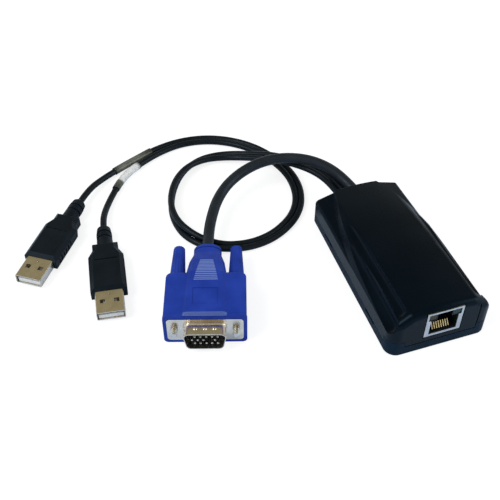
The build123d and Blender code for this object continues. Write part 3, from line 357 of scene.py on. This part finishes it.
for lead, letter in ((lead_a, "a"), (lead_b, "b")):
    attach(lead, "dongle")
    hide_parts(f"usb_lead_{letter}")

# Labels: a bare strip of laminated vinyl wrapped once round each lead, its end lapped over its
# start. One is clear with a grey tint, the other white with a grey margin.


def line_of(cord):
    """Points along the cord's own spline, with their distances from its start."""
    bare = cord.copy()
    bare.data = cord.data.copy()
    bare.data.bevel_depth = 0.0
    bare.data.resolution_u = 24
    line = bpy.data.meshes.new_from_object(bare)
    found = np.empty(len(line.vertices) * 3)
    line.vertices.foreach_get("co", found)
    found = found.reshape(-1, 3)
    bpy.data.meshes.remove(line)
    bpy.data.objects.remove(bare)
    gone = np.r_[0, np.cumsum(np.linalg.norm(np.diff(found, axis=0), axis=1))]
    return found, gone


def distance_at(cord, place):
    """The distance along the cord's spline of the point that is nearest to a place."""
    found, gone = line_of(cord)
    return gone[np.linalg.norm(found[:, :2] - place, axis=1).argmin()]


def along(cord, start, stop, count):
    """Evenly spaced points between two distances, with the side and top directions there: the
    side is square to the run and level, and the top is square to both."""
    found, gone = line_of(cord)
    at = np.linspace(start, stop, count)
    middle = np.stack([np.interp(at, gone, found[:, k]) for k in range(3)], axis=1)
    ahead = np.gradient(middle, axis=0)
    ahead /= np.linalg.norm(ahead, axis=1)[:, None]
    aside = np.cross(ahead, [0.0, 0.0, 1.0])
    aside /= np.linalg.norm(aside, axis=1)[:, None]
    return middle, aside, np.cross(aside, ahead)


def grid_mesh(name, points):
    """A mesh on a grid of points: a face joins each point with its neighbours in the next row
    and column, and the UV map named spread holds the share of rows and columns gone by."""
    rows, columns = points.shape[:2]
    row, column = np.meshgrid(np.arange(rows - 1), np.arange(columns - 1), indexing="ij")
    first = row * columns + column
    faces = np.stack([first, first + 1, first + columns + 1, first + columns], axis=-1)
    mesh = bpy.data.meshes.new(name)
    mesh.from_pydata(points.reshape(-1, 3).tolist(), [], faces.reshape(-1, 4).tolist())
    mesh.polygons.foreach_set("use_smooth", np.ones(len(mesh.polygons), bool))
    step = np.array([1 / (rows - 1), 1 / (columns - 1)])
    gone_by = np.stack([row, column], axis=-1).reshape(-1, 1, 2) * step
    corner = np.array([[0, 0], [0, 1], [1, 1], [1, 0]]) * step
    spread = mesh.uv_layers.new(name="spread")
    spread.data.foreach_set("uv", (gone_by + corner).ravel())
    return mesh


film_thickness = 0.0001
wrap_radius = 0.00163
lap_lift = 0.00016
lap_turns = 1.12
seam_at = 0.6
crease_height = 0.00004


def wrap_label(name, cord, ends):
    """A wrapped strip between two places on the cord. Its point at an angle t round the run is
    middle + reach * (cos(t) * side + sin(t) * top). The reach grows evenly by the lap's lift, so
    that the strip's end lies over its start, and three shallow creases ride on it as a sine."""
    stations, steps_round = 60, 49
    start, stop = (distance_at(cord, end) for end in ends)
    middle, aside, top = along(cord, start, stop, stations)
    turn = np.linspace(0, 2 * np.pi * lap_turns, steps_round)
    reach = wrap_radius + lap_lift * turn / turn[-1] + crease_height * np.sin(3 * turn + 1.0)
    points = (
        middle[:, None, :]
        + aside[:, None, :] * (reach * np.cos(turn + seam_at))[None, :, None]
        + top[:, None, :] * (reach * np.sin(turn + seam_at))[None, :, None]
    )
    mesh = grid_mesh(name, points)
    mesh.flip_normals()
    label = bpy.data.objects.new(name, mesh)
    bpy.context.scene.collection.objects.link(label)
    film = label.modifiers.new("thickness", "SOLIDIFY")
    film.thickness = film_thickness
    film.offset = 1.0
    return label


def laminate(name, stops):
    """Clear laminate over a tinted strip: bands of colour along the strip, each a position from
    0 to 1 and a colour, clouded by small bubbles under the film."""
    finish, shader = plain_finish(name, stops[0][1], 0.3)
    tree = finish.node_tree
    place = tree.nodes.new("ShaderNodeUVMap")
    place.uv_map = "spread"
    split = tree.nodes.new("ShaderNodeSeparateXYZ")
    bands = tree.nodes.new("ShaderNodeValToRGB")
    points = bands.color_ramp.elements
    while len(points) < len(stops):
        points.new(1.0)
    for point, (position, colour) in zip(points, stops):
        point.position = position
        point.color = (*colour, 1.0)
    bubbles = noise_on(finish, 700.0, detail=4.0)
    clouded = tree.nodes.new("ShaderNodeMix")
    clouded.data_type = "RGBA"
    clouded.blend_type = "SOFT_LIGHT"
    clouded.inputs["Factor"].default_value = 0.8
    tree.links.new(place.outputs[0], split.inputs[0])
    tree.links.new(split.outputs["X"], bands.inputs["Fac"])
    tree.links.new(bands.outputs["Color"], clouded.inputs["A"])
    tree.links.new(bubbles.outputs["Fac"], clouded.inputs["B"])
    tree.links.new(clouded.outputs["Result"], shader.inputs["Base Color"])
    vary_roughness(finish, bubbles, 0.22, 0.42)
    raise_grain(finish, noise_on(finish, 1100.0), 0.00005, 0.6)
    return finish


film_dark = (0.025, 0.029, 0.024)
film_grey = (0.115, 0.122, 0.1)
paper = (0.72, 0.72, 0.7)
grey_laminate = laminate(
    "grey laminate",
    ((0.0, film_dark), (0.35, film_grey), (0.85, film_grey), (1.0, film_dark)),
)
white_laminate = laminate(
    "white laminate",
    ((0.0, film_dark), (0.1, paper), (0.7, paper), (0.76, film_grey), (1.0, film_dark)),
)
label_a_ends = (-0.0812, 0.1158), (-0.1018, 0.1057)
label_b_ends = (-0.0896, 0.1067), (-0.1041, 0.0924)

for letter, lead, route, length, ends, finish in (
    ("a", lead_a, lead_a_route, 0.380, label_a_ends, grey_laminate),
    ("b", lead_b, lead_b_route, 0.3685, label_b_ends, white_laminate),
):
    label = wrap_label(f"label_wrap_{letter}", lead, ends)
    label.data.materials.append(finish)
    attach(label, "dongle")
    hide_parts(f"label_{letter}")

# Video plug: a blue hood moulded over the cable's end and a pressed, tinned flange, with a
# black insulator and pins in its shell. The crests of its ribs are painted pale as a painted sheen,
# where they catch the light.


def on_plug(finish, at, turn):
    """Distances across and along the plug: Object coordinates moved to its flange and turned."""
    tree = finish.node_tree
    place = tree.nodes.new("ShaderNodeTexCoord")
    mapping = tree.nodes.new("ShaderNodeMapping")
    mapping.vector_type = "TEXTURE"
    mapping.inputs["Location"].default_value = (*at, 0.0)
    mapping.inputs["Rotation"].default_value = (0.0, 0.0, turn)
    split = tree.nodes.new("ShaderNodeSeparateXYZ")
    tree.links.new(place.outputs["Object"], mapping.inputs["Vector"])
    tree.links.new(mapping.outputs[0], split.inputs[0])
    return split.outputs["X"], split.outputs["Y"]


def worked(finish, operation, *values):
    """The result of one sum on numbers or on other results."""
    tree = finish.node_tree
    node = tree.nodes.new("ShaderNodeMath")
    node.operation = operation
    for socket, value in zip(node.inputs, values):
        if isinstance(value, bpy.types.NodeSocket):
            tree.links.new(value, socket)
        else:
            socket.default_value = value
    return node.outputs[0]


def crest_band(finish, across, along_plug, start, pitch, count, half_width, narrowing=0.0):
    """1 on the crests of a row of ribs and 0 elsewhere. A crest is where the cosine of the
    distance past the first rib, one turn to the pitch, is above -0.1, and its half width gets
    less by the narrowing times that distance."""
    gone = worked(finish, "SUBTRACT", along_plug, start)
    wave = worked(finish, "COSINE", worked(finish, "MULTIPLY", gone, 2 * pi / pitch))
    crest = worked(finish, "GREATER_THAN", wave, -0.1)
    edge = worked(finish, "SUBTRACT", half_width, worked(finish, "MULTIPLY", gone, narrowing))
    inside = worked(finish, "LESS_THAN", worked(finish, "ABSOLUTE", across), edge)
    after = worked(finish, "GREATER_THAN", gone, -pitch / 2)
    before = worked(finish, "LESS_THAN", gone, pitch * (count - 0.5))
    row = worked(finish, "MULTIPLY", after, before)
    return worked(finish, "MULTIPLY", worked(finish, "MULTIPLY", crest, inside), row)


hood_grain = 0.00003
hood_edge = 0.0003
blue_dark = (0.012, 0.036, 0.28)
blue_light = (0.017, 0.047, 0.34)
crest_sheen_blue = (0.2, 0.28, 0.56)
hood_blue, ribbed_blue = (
    moulding(name, blue_dark, blue_light, 0.44, hood_grain, gloss=0.12, edge_radius=hood_edge)
    for name in ("hood blue", "ribbed hood blue")
)
across, along_plug = on_plug(ribbed_blue, at=(-0.089, -0.0105), turn=radians(-17.9))
grip_ribs = crest_band(
    ribbed_blue,
    across,
    along_plug,
    start=0.0202,
    pitch=0.00105,
    count=13,
    half_width=0.005,
    narrowing=0.175,
)
front_ribs = crest_band(
    ribbed_blue,
    across,
    along_plug,
    start=0.00078,
    pitch=0.00055,
    count=4,
    half_width=0.0088,
)
# Painted sheen: the rib crests are mixed three quarters of the way to a pale blue, a painted
# highlight.
both = worked(ribbed_blue, "MAXIMUM", grip_ribs, front_ribs)
painted_crest_sheen = worked(ribbed_blue, "MULTIPLY", both, 0.75)
tree = ribbed_blue.node_tree
base = tree.nodes["Principled BSDF"].inputs["Base Color"]
crest_sheen_mix = tree.nodes.new("ShaderNodeMix")
crest_sheen_mix.data_type = "RGBA"
crest_sheen_mix.inputs["B"].default_value = (*crest_sheen_blue, 1.0)
tree.links.new(painted_crest_sheen, crest_sheen_mix.inputs["Factor"])
tree.links.new(base.links[0].from_socket, crest_sheen_mix.inputs["A"])
tree.links.new(crest_sheen_mix.outputs["Result"], base)
plug_tin = sheet_metal("plug tin", (0.72, 0.65, 0.57), (0.85, 0.77, 0.68), 0.24)
pin_silver = sheet_metal("pin silver", (0.4, 0.39, 0.35), (0.55, 0.54, 0.5), 0.3)
dress(ribbed_blue, "video_hood")
dress(plug_tin, "video_shell")
dress(socket_black, "video_insulator")
dress(pin_silver, "video_pins")

# Thumbscrews: long plated steel screws with a fluted blue knob pressed on the end. Each turns
# freely in its bore through the hood.

screw_steel = sheet_metal("screw steel", (0.55, 0.55, 0.54), (0.72, 0.72, 0.7), 0.25)
dress(screw_steel, "thumbscrew_left", "thumbscrew_right")
dress(hood_blue, "thumbscrew_knob_left", "thumbscrew_knob_right")

# USB plugs: a folded and tinned steel shell round a white tongue with gold plated contacts, in
# a soft black boot that is moulded over its end and tapers to the lead.

soft_grain = 0.00004
soft_edge = 0.0003
boot_black = moulding(
    "boot black", (0.002, 0.0045, 0.0085), (0.0036, 0.007, 0.012), 0.45, soft_grain, 0.2, soft_edge
)
tongue_white = moulding("tongue white", (0.7, 0.7, 0.68), (0.8, 0.8, 0.78), 0.4, fine_grain)
for letter in "ab":
    dress(plug_tin, f"usb_{letter}_shell")
    dress(tongue_white, f"usb_{letter}_tongue")
    dress(gold, f"usb_{letter}_contacts")
    dress(boot_black, f"usb_{letter}_boot")

# Cord gland: a block of black rubber moulded round the three cords, which slips into the notch
# in the housing's rear wall.

gland_rubber = moulding(
    "gland rubber", (0.002, 0.003, 0.005), (0.004, 0.005, 0.008), 0.6, soft_grain, 0.15, soft_edge
)
dress(gland_rubber, "cord_gland")

# Housing: two shells in moulded black ABS that snap together at the seam and close the dongle.
# The top cover is smooth and glossy, the bottom shell has a fine spark-eroded grain.

cover_edge = 0.0003
cover_dark = (0.0012, 0.0032, 0.0066)
cover_light = (0.0018, 0.0046, 0.009)
cover_gloss, shader = plain_finish("cover gloss", cover_light, 0.27)
shader.inputs["Specular IOR Level"].default_value = 0.11
shader.inputs["Specular Tint"].default_value = (0.45, 0.75, 1.0, 1.0)
vary_colour(cover_gloss, noise_on(cover_gloss, 30.0), cover_dark, cover_light)
vary_roughness(cover_gloss, noise_on(cover_gloss, 55.0, detail=5.0), 0.22, 0.32)
raise_grain(cover_gloss, noise_on(cover_gloss, 700.0, detail=1.0), fine_grain, 0.3, cover_edge)
dress(cover_gloss, "top_cover")

eroded_grain = 0.00004
shell_edge = 0.00025
# The bottom shell's black is painted bluish, bluer than the top cover: a painted reflection of cool
# light on it.
shell_dark_painted_cool = (0.0024, 0.0102, 0.0215)
shell_light_painted_cool = (0.0042, 0.0138, 0.0275)
shell_grain, shader = plain_finish("shell grain", shell_light_painted_cool, 0.45)
shader.inputs["Specular IOR Level"].default_value = 0.08
shader.inputs["Specular Tint"].default_value = (0.3, 0.65, 1.0, 1.0)
vary_colour(shell_grain, noise_on(shell_grain, 60.0), shell_dark_painted_cool, shell_light_painted_cool)
vary_roughness(shell_grain, noise_on(shell_grain, 90.0), 0.4, 0.52)
raise_grain(shell_grain, noise_on(shell_grain, 5200.0, detail=2.0), eroded_grain, 0.6, shell_edge)
dress(shell_grain, "bottom_shell")

bpy.context.view_layer.update()
